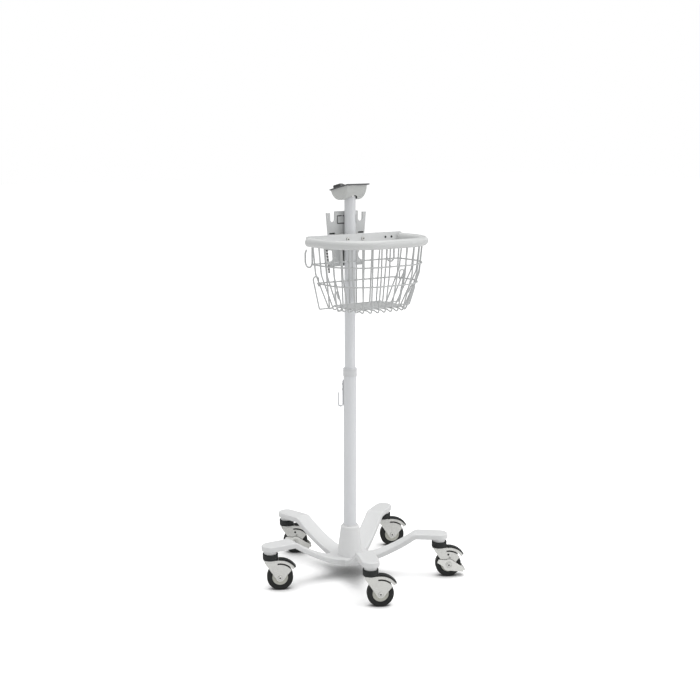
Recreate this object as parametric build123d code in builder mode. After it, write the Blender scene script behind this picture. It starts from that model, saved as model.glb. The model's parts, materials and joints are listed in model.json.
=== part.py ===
"""Five-legged roll stand for a patient monitor, on swivelling casters.

The frame: +Z is up, the origin is on the floor under the pole's axis, the basket's open
front faces -Y and its back plate lies along X. All sizes are in millimetres.
"""

from build123d import *
from math import cos, radians, sin
import os

# ---------------------------------------------------------------- driving dimensions
# Base casting: five gull-wing legs on one hub
LEG_COUNT = 5
FIRST_LEG = -41.9  # heading of the first leg, degrees from +X
STEM_CIRCLE = 263.5  # pole axis to each caster stem
LEG_END_RADIUS = 25.0
LEG_HUB_WIDTH = 58.0
LEG_TOP = 132.0
LEG_UNDERSIDE = 116.0
LEG_BEND = 198.0  # radius at which the legs turn level
HUB_TOP = 58.0
HUB_BOTTOM = 40.0
NOTCH_RADIUS = 16.0
TOP_ROUNDING = 4.0
BOTTOM_ROUNDING = 2.5
SOCKET_RADIUS = 25.0
SOCKET_FLOOR = 55.0
SOCKET_TOP = 95.0
BOSS_RADIUS = 18.0
BOSS_BOTTOM = 105.0
STEM_RADIUS = 6.0
STEM_TOP = 127.0
BASE_BOLT_RADIUS = 6.0

# Pole: a fixed lower tube with a thinner upper tube in it
LOWER_RADIUS = 19.05
UPPER_RADIUS = 15.875
TUBE_WALL = 1.6
FIT = 0.05  # radial clearance of a piece that slips over a tube
COLLAR_BOTTOM = 596.0
COLLAR_TOP = 620.0
UPPER_BOTTOM = 480.0
POLE_TOP = 1112.0
COVER_TOP = 151.0
HOOK_HEADING = 137.7
HOOK_SHEET = 3.2
HOOK_WIDTH = 11.0
HOOK_SCREWS = (556, 572)
HOOK_SCREW_RADIUS = 1.9

# Caster: 75 mm wheel trailing behind its stem
WHEEL_RADIUS = 37.5
WHEEL_WIDTH = 24.0
TYRE_INNER = 22.6
TRAIL = 27.0
CASTER_HEADING = -31.5
AXLE_RADIUS = 4.0
RUNNING_GAP = 0.06
FORK_INNER = 13.6
FORK_SHEET = 2.4
CROWN_TOP = 89.0
CROWN_SHEET = 3.0
HOOD_RADIUS = CROWN_TOP - WHEEL_RADIUS
HOOD_TAIL = 34.0  # angle above level at which the hood ends, seen from the axle
SLIT_INNER = 39.2
SLIT_OUTER = 43.7
STRIP_HALF = 9.5  # half-width of the plastic strip over the fork's hood
BAND_RADIUS = 22.0
BAND_TOP = 107.0
RACE_PITCH = 10.5
RACE_HEIGHT = 94.3
BALL_RADIUS = 2.0
BALL_COUNT = 10
GROOVE_RADIUS = 2.35
BRAKED_LEGS = (0, 2)
PEDAL_TILT = -22.0
SHOE_ANGLE = 75.0

# Basket: a D in plan, straight along the pole side
PLATE_FRONT = -26.0
PLATE_THICK = 4.0
PLATE_HALF = 166.0
PLATE_BOTTOM = 980.0
PLATE_TOP = 1008.0
RIM_RADIUS = 12.5
RIM_HEIGHT = 992.0
D_HALF_WIDTH = 160.0
D_DEPTH = 181.5
D_CORNER = 115.0
FLOOR_HEIGHT = 808.0
WIRE_RADIUS = 2.1
WALL_HEIGHTS = (981.0, 905.0, FLOOR_HEIGHT)  # top, knee and foot of the wall wires
SIDE_INSETS = (4.0, 13.0, 58.0)  # how far the side wires stand inside the rim's centre line
FRONT_INSETS = (4.0, 9.0, 30.0)
RING_HEIGHTS = (931.0, 877.5)
WALL_WIRES = 20
BACK_WIRE_PITCHES = (28.0, 23.5)  # at the plate and at the floor
WELD = 0.15  # how far two crossing wires sink into each other
BACK_WIRE_LINE = PLATE_FRONT - 1 - 2 * WIRE_RADIUS
BACK_CORNER = 14.0

# Rear bracket and mounting head
BRACKET_FRONT = 16.2
BRACKET_DEPTH = 6.0
BRACKET_SHEET = 1.6
HEAD_TILT = 12.0
PIVOT_HEIGHT = 1124.0
PLATE_CENTRE = (0.0, 3.0, 1139.0)
HEAD_WIDTH = 79.0
HEAD_DEPTH = 89.0
HEAD_SHEET = 3.0
DRUM_RADIUS = 40.4  # the housing is a drum about a line along X
DRUM_CENTRE = (7.3, 1142.1)
DRUM_HALF = 36.6
HOUSING_WALL = 2.6
MOUNT_HOLE_SPREAD = 30.5
MOUNT_HOLE_RADIUS = 2.25


def save(part, name):
    """Label one finished piece and write it to its own file."""
    part.label = name
    export_step(part, f"parts/{name}.step")


def group(pieces):
    """Several separate, identical or matching solids in one node."""
    return Compound([solid for piece in pieces for solid in piece.solids()])


def rod(points, bends, radius=WIRE_RADIUS):
    """A round wire along straight runs, with an arc of its own radius at each corner."""
    with BuildPart() as wire:
        with BuildLine() as path:
            if len(points) == 2:
                Line(*points)
            else:
                FilletPolyline(*points, radius=bends)
        with BuildSketch(Plane(origin=path.line @ 0, z_dir=path.line % 0)):
            Circle(radius)
        sweep(path=path.line)
    return wire.part


def bolt(radius, length, head_radius, head_height, socket=0.0):
    """A button-head bolt: the head's flat at the origin, its shank pointing down."""
    with BuildPart() as screw:
        with Locations((0, 0, -length / 2)):
            Cylinder(radius, length)
        with Locations((0, 0, head_height / 2)):
            Cylinder(head_radius, head_height)
        fillet(screw.edges().group_by(Axis.Z)[-1], head_height * 0.6)
        if socket:
            with BuildSketch(Plane.XY.offset(head_height)):
                RegularPolygon(socket, 6)
            extrude(amount=-head_height * 0.6, mode=Mode.SUBTRACT)
    return screw.part


os.makedirs("parts", exist_ok=True)
leg_headings = [FIRST_LEG + 360 / LEG_COUNT * k for k in range(LEG_COUNT)]

# ---------------------------------------------------------------- base casting
# The legs are a star in plan, cut from one gull-wing profile turned about the pole.
with BuildPart() as base_casting:
    with BuildSketch(Plane.XY) as star:
        with Locations([Location((0, 0, 0), (0, 0, heading)) for heading in leg_headings]):
            Polygon(
                (0, -LEG_HUB_WIDTH / 2),
                (STEM_CIRCLE, -LEG_END_RADIUS),
                (STEM_CIRCLE, LEG_END_RADIUS),
                (0, LEG_HUB_WIDTH / 2),
                align=None,
            )
        with PolarLocations(STEM_CIRCLE, LEG_COUNT, start_angle=FIRST_LEG):
            Circle(LEG_END_RADIUS)
        notches = star.vertices().filter_by(lambda v: v.center().length < 60)
        fillet(notches, NOTCH_RADIUS)
    extrude(amount=LEG_TOP + 10)
    with BuildSketch(Plane.XZ):
        with BuildLine():
            Polyline((0, HUB_BOTTOM), (0, HUB_TOP), (42, HUB_TOP))
            Spline((42, HUB_TOP), (95, 72), (150, 102), (190, 129), tangents=[(1, 0.05), (1, 0.72)])
            Polyline((190, 129), (LEG_BEND, LEG_TOP), (300, LEG_TOP), (300, LEG_UNDERSIDE))
            Line((300, LEG_UNDERSIDE), (LEG_BEND, LEG_UNDERSIDE))
            Spline(
                (LEG_BEND, LEG_UNDERSIDE), (190, 111.5), (146, 83), (91, 54), (36, HUB_BOTTOM),
                tangents=[(-1, -0.3), (-1, -0.05)],
            )
            Line((36, HUB_BOTTOM), (0, HUB_BOTTOM))
        make_face()
    revolve(axis=Axis.Z, mode=Mode.INTERSECT)
    for side, rounding in ((1, TOP_ROUNDING), (-1, BOTTOM_ROUNDING)):
        walls = base_casting.faces().filter_by(lambda face: abs(face.normal_at().Z) < 0.02).edges()
        skin = base_casting.faces().filter_by(lambda face: side * face.normal_at().Z > 0.3).edges()
        fillet([edge for edge in skin if edge in walls], rounding)
    with Locations((0, 0, (HUB_TOP + SOCKET_TOP) / 2)):
        Cylinder(SOCKET_RADIUS, SOCKET_TOP - HUB_TOP)
    with BuildSketch(Plane.XY.offset(SOCKET_FLOOR)):
        Circle(LOWER_RADIUS + FIT)
    extrude(amount=SOCKET_TOP, mode=Mode.SUBTRACT)
    with BuildSketch(Plane.XY.offset(HUB_BOTTOM)):
        Circle(15)
    extrude(amount=9, mode=Mode.SUBTRACT)
    with BuildSketch(Plane.XY.offset(HUB_BOTTOM)):
        Circle(BASE_BOLT_RADIUS + 0.3)
    extrude(amount=HUB_TOP, mode=Mode.SUBTRACT)
    with BuildSketch(Plane.XY.offset(BOSS_BOTTOM)):
        with PolarLocations(STEM_CIRCLE, LEG_COUNT, start_angle=FIRST_LEG):
            Circle(BOSS_RADIUS)
    extrude(amount=LEG_UNDERSIDE + 2 - BOSS_BOTTOM)
    with BuildSketch(Plane.XY.offset(BOSS_BOTTOM)):
        with PolarLocations(STEM_CIRCLE, LEG_COUNT, start_angle=FIRST_LEG):
            Circle(STEM_RADIUS + 0.02)
    extrude(amount=STEM_TOP + 1 - BOSS_BOTTOM, mode=Mode.SUBTRACT)
save(base_casting.part, "base_casting")

# ---------------------------------------------------------------- hub cover and base fasteners
with BuildPart() as hub_cover:
    with BuildSketch(Plane.XZ):
        with BuildLine():
            Polyline((38, HUB_TOP + 0.1), (37, 64), (27.5, 142))
            ThreePointArc((27.5, 142), (25.6, 146.4), (21.5, 148))
            Polyline((21.5, 148), (21.5, COVER_TOP), (LOWER_RADIUS + 0.1, COVER_TOP))
            Polyline((LOWER_RADIUS + 0.1, COVER_TOP), (LOWER_RADIUS + 0.1, 145), (24.5, 141.5))
            Polyline((24.5, 141.5), (34.2, 64), (35, HUB_TOP + 0.1), (38, HUB_TOP + 0.1))
        make_face()
    revolve(axis=Axis.Z)
save(hub_cover.part, "hub_cover")

with BuildPart() as pole_plug:
    with BuildSketch(Plane.XY.offset(SOCKET_FLOOR + 1)):
        Circle(LOWER_RADIUS - TUBE_WALL)
        Circle(BASE_BOLT_RADIUS, mode=Mode.SUBTRACT)
    extrude(amount=22)
WASHER_BOTTOM = 47.0
with BuildPart() as bolt_washer:
    with BuildSketch(Plane.XY.offset(WASHER_BOTTOM)):
        Circle(12)
        Circle(BASE_BOLT_RADIUS + 0.1, mode=Mode.SUBTRACT)
    extrude(amount=2)
with BuildPart() as base_bolt:
    with BuildSketch(Plane.XY.offset(WASHER_BOTTOM - 6.5)):
        RegularPolygon(10, 6)
    extrude(amount=6.5)
    chamfer(base_bolt.faces().sort_by(Axis.Z)[0].edges(), 0.8)
    with BuildSketch(Plane.XY.offset(WASHER_BOTTOM)):
        Circle(BASE_BOLT_RADIUS)
    extrude(amount=29)
save(group([base_bolt.part, bolt_washer.part, pole_plug.part]), "base_fastening")

# ---------------------------------------------------------------- pole
hook_outward = (cos(radians(HOOK_HEADING)), sin(radians(HOOK_HEADING)), 0)
with BuildPart() as lower_pole:
    with BuildSketch(Plane.XY.offset(SOCKET_FLOOR)):
        Circle(LOWER_RADIUS)
        Circle(LOWER_RADIUS - TUBE_WALL, mode=Mode.SUBTRACT)
    extrude(amount=COLLAR_TOP - 3 - SOCKET_FLOOR)
    with BuildSketch(Plane(origin=(0, 0, 0), x_dir=(0, 0, 1), z_dir=hook_outward)):
        with Locations([(height, 0) for height in HOOK_SCREWS]):
            Circle(HOOK_SCREW_RADIUS + FIT)
    extrude(amount=LOWER_RADIUS + 1, mode=Mode.SUBTRACT)
save(lower_pole.part, "lower_pole")

with BuildPart() as upper_pole:
    with BuildSketch(Plane.XY.offset(UPPER_BOTTOM)):
        Circle(UPPER_RADIUS)
        Circle(UPPER_RADIUS - TUBE_WALL, mode=Mode.SUBTRACT)
    extrude(amount=POLE_TOP - UPPER_BOTTOM)
save(upper_pole.part, "upper_pole")

with BuildPart() as pole_bushes:
    for bottom, height in ((UPPER_BOTTOM + 2, 20), (COLLAR_BOTTOM - 10, 26)):
        with BuildSketch(Plane.XY.offset(bottom)):
            Circle(LOWER_RADIUS - TUBE_WALL)
            Circle(UPPER_RADIUS, mode=Mode.SUBTRACT)
        extrude(amount=height)
save(pole_bushes.part, "pole_bushes")

with BuildPart() as pole_collar:
    with BuildSketch(Plane.XY.offset(COLLAR_BOTTOM)):
        Circle(LOWER_RADIUS + 1.1)
    extrude(amount=COLLAR_TOP - COLLAR_BOTTOM)
    fillet(pole_collar.edges(), 0.5)
    with BuildSketch(Plane.XY.offset(COLLAR_BOTTOM)):
        Circle(LOWER_RADIUS + FIT)
    extrude(amount=COLLAR_TOP - 3 - COLLAR_BOTTOM, mode=Mode.SUBTRACT)
    with BuildSketch(Plane.XY.offset(COLLAR_BOTTOM)):
        Circle(UPPER_RADIUS + FIT)
    extrude(amount=COLLAR_TOP, mode=Mode.SUBTRACT)
    for height in (COLLAR_BOTTOM + 4, COLLAR_TOP - 5):
        with BuildSketch(Plane.XY.offset(height)):
            Circle(LOWER_RADIUS + 3)
            Circle(LOWER_RADIUS + 0.5, mode=Mode.SUBTRACT)
        extrude(amount=1.2, mode=Mode.SUBTRACT)
save(pole_collar.part, "pole_collar")

# Hook strip on the lower pole: it runs down the tube, turns out and back up.
hook_face = LOWER_RADIUS + FIT
hook_side = (sin(radians(HOOK_HEADING)), -cos(radians(HOOK_HEADING)), 0)
with BuildPart() as pole_hook:
    with BuildSketch(Plane(origin=(0, 0, 0), x_dir=hook_outward, z_dir=hook_side)):
        with BuildLine() as hook_line:
            FilletPolyline(
                (hook_face + HOOK_SHEET / 2, 582),
                (hook_face + HOOK_SHEET / 2, 505 + HOOK_SHEET / 2),
                (hook_face + 14.5, 505 + HOOK_SHEET / 2),
                (hook_face + 14.5, 546),
                radius=6.2,
            )
            offset(hook_line.line, amount=HOOK_SHEET / 2, side=Side.BOTH, kind=Kind.ARC)
        make_face()
    extrude(amount=HOOK_WIDTH / 2, both=True)
    with BuildSketch(Plane(origin=(0, 0, 0), x_dir=(0, 0, 1), z_dir=hook_outward)):
        with Locations([(height, 0) for height in HOOK_SCREWS]):
            Circle(HOOK_SCREW_RADIUS + FIT)
    extrude(amount=hook_face + HOOK_SHEET + 1, mode=Mode.SUBTRACT)
save(pole_hook.part, "pole_hook")

hook_screw = bolt(HOOK_SCREW_RADIUS, 5, 3.4, 1.9, socket=1.6)
hook_screws = []
for height in HOOK_SCREWS:
    seat = Vector(*hook_outward) * (hook_face + HOOK_SHEET) + Vector(0, 0, height)
    hook_screws.append(hook_screw.moved(Plane(origin=seat, z_dir=hook_outward).location))
save(group(hook_screws), "hook_screws")

# ---------------------------------------------------------------- casters
# Every caster is drawn about its own stem, trailing along +X with its axle along Y.
AXLE = (TRAIL, WHEEL_RADIUS)  # in the XZ plane


def on_arc(radius, angle):
    """A point of the XZ plane, seen from the axle."""
    return (AXLE[0] + radius * cos(radians(angle)), AXLE[1] + radius * sin(radians(angle)))


def ring_sector(inner, outer, first, last):
    """The outline of a curved strip about the axle, between two angles in degrees."""
    middle = (first + last) / 2
    with BuildLine() as outline:
        ThreePointArc(on_arc(outer, first), on_arc(outer, middle), on_arc(outer, last))
        Line(on_arc(outer, last), on_arc(inner, last))
        ThreePointArc(on_arc(inner, last), on_arc(inner, middle), on_arc(inner, first))
        Line(on_arc(inner, first), on_arc(outer, first))
    return outline.line


def make_fork(braked):
    """Stamped fork: crown, two tapering side plates, and a hood over the trailing side."""
    with BuildPart() as fork:
        with BuildSketch(Plane.XZ.offset(FORK_INNER)):
            with BuildLine():
                tail = on_arc(HOOD_RADIUS, HOOD_TAIL)
                top = on_arc(HOOD_RADIUS, 90)
                ThreePointArc(tail, on_arc(HOOD_RADIUS, 62), top)
                Polyline(top, (-17, CROWN_TOP), (-17, 83.5), on_arc(11, 205))
                ThreePointArc(on_arc(11, 205), on_arc(11, 270), on_arc(11, 328))
                Polyline(on_arc(11, 328), on_arc(SLIT_INNER, HOOD_TAIL), tail)
            make_face()
            slit = ring_sector(SLIT_INNER, SLIT_OUTER, HOOD_TAIL - 4, 100)
            add(make_face(slit), mode=Mode.SUBTRACT)
            with Locations(AXLE):
                Circle(AXLE_RADIUS, mode=Mode.SUBTRACT)
            if braked:
                with Locations((AXLE[0] - 1.5, AXLE[1] + 31)):
                    Circle(3.1, mode=Mode.SUBTRACT)
                with Locations((AXLE[0] + 3, AXLE[1] + 22)):
                    Circle(2, mode=Mode.SUBTRACT)
        extrude(amount=FORK_SHEET)
        mirror(about=Plane.XZ)
        with BuildSketch(Plane.XZ):
            add(make_face(ring_sector(HOOD_RADIUS - FORK_SHEET, HOOD_RADIUS, HOOD_TAIL, 92)))
        extrude(amount=FORK_INNER + FORK_SHEET, both=True)
        with BuildSketch(Plane.XY.offset(CROWN_TOP - CROWN_SHEET)):
            Circle(20.5)
            with Locations((12, 0)):
                Rectangle(26, 2 * (FORK_INNER + FORK_SHEET))
        extrude(amount=CROWN_SHEET)
        with BuildSketch(Plane.XY.offset(CROWN_TOP)):
            Circle(15.5)
        extrude(amount=4.5)
        with BuildSketch(Plane.XZ):
            with Locations((RACE_PITCH, RACE_HEIGHT)):
                Circle(GROOVE_RADIUS)
        revolve(axis=Axis.Z, mode=Mode.SUBTRACT)
        with BuildSketch(Plane.XY.offset(CROWN_TOP - 10)):
            Circle(AXLE_RADIUS + RUNNING_GAP)
        extrude(amount=20, mode=Mode.SUBTRACT)
    return fork.part


def make_cover():
    """Plastic cover: a cup round the swivel head and a strip over the fork's hood."""
    with BuildPart() as cover:
        with BuildSketch(Plane.XZ):
            with BuildLine():
                Polyline(
                    (16.5, CROWN_TOP + 0.2), (BAND_RADIUS - 1.5, CROWN_TOP + 0.2), (BAND_RADIUS, 91.5),
                    (BAND_RADIUS, BAND_TOP - 1), (BAND_RADIUS - 0.8, BAND_TOP), (18.8, BAND_TOP),
                    (18.8, 104.5), (19.5, 104.5), (19.5, 92), (16.5, 92), close=True,
                )
            make_face()
        revolve(axis=Axis.Z)
        with BuildSketch(Plane.XZ):
            add(make_face(ring_sector(HOOD_RADIUS + 0.3, HOOD_RADIUS + 2.3, HOOD_TAIL - 2, 93)))
        extrude(amount=STRIP_HALF, both=True)
        with BuildSketch(Plane.XY.offset(CROWN_TOP - 1)):
            Circle(19.5)
        extrude(amount=BAND_TOP - CROWN_TOP - 1.5, mode=Mode.SUBTRACT)
        with BuildSketch(Plane.XY.offset(CROWN_TOP + 0.2)):
            Circle(19.5)
            Circle(16.5, mode=Mode.SUBTRACT)
        extrude(amount=2.8)
    return cover.part


def make_axle(half_length):
    """Riveted axle with a shallow recess in each head."""
    with BuildPart() as axle:
        with BuildSketch(Plane.XZ):
            with Locations(AXLE):
                Circle(AXLE_RADIUS)
        extrude(amount=half_length, both=True)
        with BuildSketch(Plane.XZ.offset(half_length)):
            with Locations(AXLE):
                Circle(6.5)
        extrude(amount=1.8)
        chamfer(axle.faces().sort_by(Axis.Y)[0].edges(), 0.7)
        with BuildSketch(Plane.XZ.offset(half_length + 0.9)):
            with Locations(AXLE):
                Circle(2.4)
        extrude(amount=2, mode=Mode.SUBTRACT)
        split(bisect_by=Plane.XZ, keep=Keep.TOP)
        mirror(about=Plane.XZ)
    return axle.part


def make_hub():
    """Wheel hub: bore, boss, dished web with a groove, and the rim the tyre sits on."""
    with BuildPart() as hub:
        with BuildSketch(Plane.XY.offset(WHEEL_RADIUS)):
            with BuildLine():
                Polyline(
                    (TRAIL + AXLE_RADIUS + RUNNING_GAP, 0),
                    (TRAIL + AXLE_RADIUS + RUNNING_GAP, 13.1), (TRAIL + 8.5, 13.1), (TRAIL + 9, 10.8),
                    (TRAIL + 15.2, 10.2), (TRAIL + 16, 8.8), (TRAIL + 17.8, 8.8), (TRAIL + 18.4, 10.6),
                    (TRAIL + TYRE_INNER - 1, 11), (TRAIL + TYRE_INNER, 10.2), (TRAIL + TYRE_INNER, 0),
                    close=True,
                )
            make_face()
        revolve(axis=Axis((TRAIL, 0, WHEEL_RADIUS), (0, 1, 0)))
        mirror(about=Plane.XZ)
    return hub.part


def make_tyre():
    """Tyre: rounded tread and a lip over the hub's rim."""
    tread_edge = (TRAIL + WHEEL_RADIUS, 8)
    with BuildPart() as tyre:
        with BuildSketch(Plane.XY.offset(WHEEL_RADIUS)):
            with BuildLine():
                Polyline((TRAIL + TYRE_INNER + 0.02, 0), (TRAIL + TYRE_INNER + 0.02, 11.2),
                         (TRAIL + TYRE_INNER + 1.2, WHEEL_WIDTH / 2), (TRAIL + 33.5, WHEEL_WIDTH / 2))
                ThreePointArc((TRAIL + 33.5, WHEEL_WIDTH / 2), (TRAIL + 36.3, 10.8), tread_edge)
                Polyline(tread_edge, (TRAIL + WHEEL_RADIUS, 0), (TRAIL + TYRE_INNER + 0.02, 0))
            make_face()
        revolve(axis=Axis((TRAIL, 0, WHEEL_RADIUS), (0, 1, 0)))
        mirror(about=Plane.XZ)
    return tyre.part


PEDAL_INNER = FORK_INNER + FORK_SHEET + 0.5
PEDAL_SHEET = 2.0


def make_pedal():
    """Rocker pedal: a side plate on each cheek of the fork, joined by the foot tread."""
    with BuildPart() as pedal:
        with BuildSketch(Plane.XZ.offset(PEDAL_INNER)):
            with Locations(AXLE):
                Circle(17.5)
            with BuildLine():
                Polyline(on_arc(17.5, PEDAL_TILT + 68), on_arc(47, PEDAL_TILT + 9),
                         on_arc(47.5, PEDAL_TILT - 6), on_arc(17.5, PEDAL_TILT - 62), close=True)
            make_face()
            with BuildLine():
                Polyline(on_arc(17.5, PEDAL_TILT + 142), on_arc(35, PEDAL_TILT + 172),
                         on_arc(35.5, PEDAL_TILT + 190), on_arc(17.5, PEDAL_TILT + 215), close=True)
            make_face()
            with Locations(AXLE):
                Circle(AXLE_RADIUS + RUNNING_GAP, mode=Mode.SUBTRACT)
        extrude(amount=PEDAL_SHEET)
        with BuildSketch(Plane.XZ.offset(PEDAL_INNER + PEDAL_SHEET)):
            with Locations(AXLE):
                Circle(9.5)
                Circle(7.2, mode=Mode.SUBTRACT)
        extrude(amount=1.0)
        mirror(about=Plane.XZ)
        with BuildSketch(Plane.XZ):
            add(make_face(ring_sector(42, 46.5, PEDAL_TILT - 4, PEDAL_TILT + 1)))
            add(make_face(ring_sector(43.5, 51, PEDAL_TILT + 1, PEDAL_TILT + 5)))
        extrude(amount=PEDAL_INNER + PEDAL_SHEET, both=True)
    return pedal.part


def make_shoe():
    """Brake shoe between the fork's cheeks, just off the tyre."""
    with BuildPart() as shoe:
        with BuildSketch(Plane.XZ):
            add(make_face(ring_sector(WHEEL_RADIUS + 0.4, 45, SHOE_ANGLE - 9, SHOE_ANGLE + 9)))
        extrude(amount=10.5, both=True)
        for height in (39.5, 42.0):
            with BuildSketch(Plane.XZ.offset(10.5)):
                add(make_face(ring_sector(height, height + 0.8, SHOE_ANGLE - 10, SHOE_ANGLE + 10)))
            extrude(amount=-0.8, mode=Mode.SUBTRACT)
    return shoe.part


def stem_place(heading):
    """Where a caster's own origin lies on the floor, turned to its trailing heading."""
    x, y = STEM_CIRCLE * cos(radians(heading)), STEM_CIRCLE * sin(radians(heading))
    return Location((x, y, 0), (0, 0, CASTER_HEADING))


cover, hub, tyre = make_cover(), make_hub(), make_tyre()
for number, heading in enumerate(leg_headings, start=1):
    braked = number - 1 in BRAKED_LEGS
    place = stem_place(heading)
    outer_sheet = PEDAL_INNER + PEDAL_SHEET + 0.4 if braked else FORK_INNER + FORK_SHEET
    save(make_fork(braked).moved(place), f"caster_fork_{number}")
    save(cover.moved(place), f"swivel_cover_{number}")
    save(make_axle(outer_sheet).moved(place), f"wheel_axle_{number}")
    save(hub.moved(place), f"wheel_hub_{number}")
    save(tyre.moved(place), f"tyre_{number}")
    if braked:
        save(make_pedal().moved(place), f"brake_pedal_{number}")
        save(make_shoe().moved(place), f"brake_shoe_{number}")

with BuildPart() as stem:
    with BuildSketch(Plane.XZ):
        with BuildLine():
            Polyline(
                (0, 80), (6.5, 80), (6.5, 85.6), (AXLE_RADIUS, 85.6), (AXLE_RADIUS, 95.2), (15, 95.2),
                (15, 103), (10, 103.4), (10, BOSS_BOTTOM), (STEM_RADIUS, BOSS_BOTTOM),
                (STEM_RADIUS, STEM_TOP), (0, STEM_TOP), close=True,
            )
        make_face()
    revolve(axis=Axis.Z)
    with BuildSketch(Plane.XZ):
        with Locations((RACE_PITCH, RACE_HEIGHT)):
            Circle(GROOVE_RADIUS)
    revolve(axis=Axis.Z, mode=Mode.SUBTRACT)
save(group([stem.part.moved(stem_place(heading)) for heading in leg_headings]), "caster_stems")

with BuildPart() as balls:
    with Locations((0, 0, RACE_HEIGHT)):
        with PolarLocations(RACE_PITCH, BALL_COUNT):
            Sphere(BALL_RADIUS)
save(group([balls.part.moved(stem_place(heading)) for heading in leg_headings]), "swivel_balls")

# ---------------------------------------------------------------- basket


def wall_insets(height):
    """How far the wire walls stand inside the rim's centre line at a height: sides, front."""
    upper = 0 if height > WALL_HEIGHTS[1] else 1
    top, bottom = WALL_HEIGHTS[upper : upper + 2]
    share = (top - height) / (top - bottom)
    return [
        insets[upper] + share * (insets[upper + 1] - insets[upper])
        for insets in (SIDE_INSETS, FRONT_INSETS)
    ]


def d_line(height, insets, closed=False):
    """The basket's D in plan: straight sides, round front corners; drawn inset from the rim."""
    side_inset, front_inset = insets
    half, front = D_HALF_WIDTH - side_inset, PLATE_FRONT - D_DEPTH + front_inset
    back = BACK_WIRE_LINE + 2 * WIRE_RADIUS - WELD if closed else PLATE_FRONT - 1
    bends = [D_CORNER - (side_inset + front_inset) / 2] * 2
    if closed:
        bends = [BACK_CORNER, *bends, BACK_CORNER]
    with BuildLine(Plane.XY.offset(height)) as line:
        FilletPolyline(
            (-half, back), (-half, front), (half, front), (half, back), radius=bends, close=closed
        )
    return line.line


rim_line = d_line(RIM_HEIGHT, (0, 0))
with BuildPart() as basket_rim:
    with BuildSketch(Plane(origin=rim_line @ 0, z_dir=rim_line % 0)):
        Circle(RIM_RADIUS)
        Circle(RIM_RADIUS - 1.6, mode=Mode.SUBTRACT)
    sweep(path=rim_line)
save(basket_rim.part, "basket_rim")

PLATE_HOLES = (107.0, 129.0)
PLATE_SCREWS = (-26.3, 26.3)
plate_middle = (PLATE_BOTTOM + PLATE_TOP) / 2
with BuildPart() as basket_back_plate:
    with BuildSketch(Plane.XZ.offset(-PLATE_FRONT - PLATE_THICK)):
        with Locations((0, plate_middle)):
            RectangleRounded(2 * PLATE_HALF, PLATE_TOP - PLATE_BOTTOM, 5)
        with Locations([(x, plate_middle) for x in PLATE_HOLES]):
            Circle(2.5, mode=Mode.SUBTRACT)
        with Locations([(x, plate_middle) for x in PLATE_SCREWS]):
            Circle(3.2, mode=Mode.SUBTRACT)
    extrude(amount=PLATE_THICK)
save(basket_back_plate.part, "basket_back_plate")

# Wall wires run from the rim's underside over a knee to the floor, curl under and point inwards.
wall_lines = [d_line(height, wall_insets(height)) for height in WALL_HEIGHTS]
CURL_DROP = 7.0
CURL_LENGTH = 20.0
wall_wires, floor_ends, wall_runs = [], [], []
for k in range(WALL_WIRES):
    share = (k + 0.5) / WALL_WIRES
    top, knee, foot = [line @ share for line in wall_lines]
    across = abs((wall_lines[-1] % share).X) < 0.75
    inward = Vector(-1 if foot.X > 0 else 1, 0, 0) if across else Vector(0, 1, 0)
    low = foot + (foot - knee).normalized() * CURL_DROP
    end = foot + inward * CURL_LENGTH + Vector(0, 0, 2 * WIRE_RADIUS - WELD if across else 0)
    wall_wires.append(rod([top, knee, low, end], [40, 6.5]))
    floor_ends.append((end, inward))
    wall_runs.append((foot, knee - foot))
save(group(wall_wires), "basket_wall_wires")

# Floor wires join the curled ends: one layer runs to the back wall, one lies across on it.
floor_wires = []
for end, inward in floor_ends:
    if inward.Y > 0.5:
        floor_wires.append(rod([end, Vector(end.X, BACK_WIRE_LINE, end.Z)], None))
    elif end.X < 0:
        floor_wires.append(rod([end, Vector(-end.X, end.Y, end.Z)], None))
save(group(floor_wires), "basket_floor_wires")

back_wires = []
for k in range(-4, 5):
    top = (k * BACK_WIRE_PITCHES[0], BACK_WIRE_LINE, PLATE_BOTTOM)
    foot = (k * BACK_WIRE_PITCHES[1], BACK_WIRE_LINE, FLOOR_HEIGHT)
    back_wires.append(rod([top, foot], None))
save(group(back_wires), "basket_back_wires")

rings = []
for height in RING_HEIGHTS:
    insets = [inset - 2 * WIRE_RADIUS + WELD for inset in wall_insets(height)]
    line = d_line(height, insets, closed=True)
    with BuildPart() as ring:
        with BuildSketch(Plane(origin=line @ 0, z_dir=line % 0)):
            Circle(WIRE_RADIUS)
        sweep(path=line)
    rings.append(ring.part)
save(group(rings), "basket_rings")

# Two hooks hang behind the back corners.
HOOK_X = 143.5
HOOK_RADIUS = 2.4
hook_back = PLATE_FRONT + PLATE_THICK + HOOK_RADIUS
basket_hooks = []
for x in (-HOOK_X, HOOK_X):
    basket_hooks.append(rod(
        [(x, hook_back, 1000), (x, hook_back, 920), (x, hook_back + 34, 920),
         (x, hook_back + 34, 958), (x, hook_back + 28, 968)],
        [16.8, 16.8, 7], HOOK_RADIUS,
    ))
save(group(basket_hooks), "basket_hooks")

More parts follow.
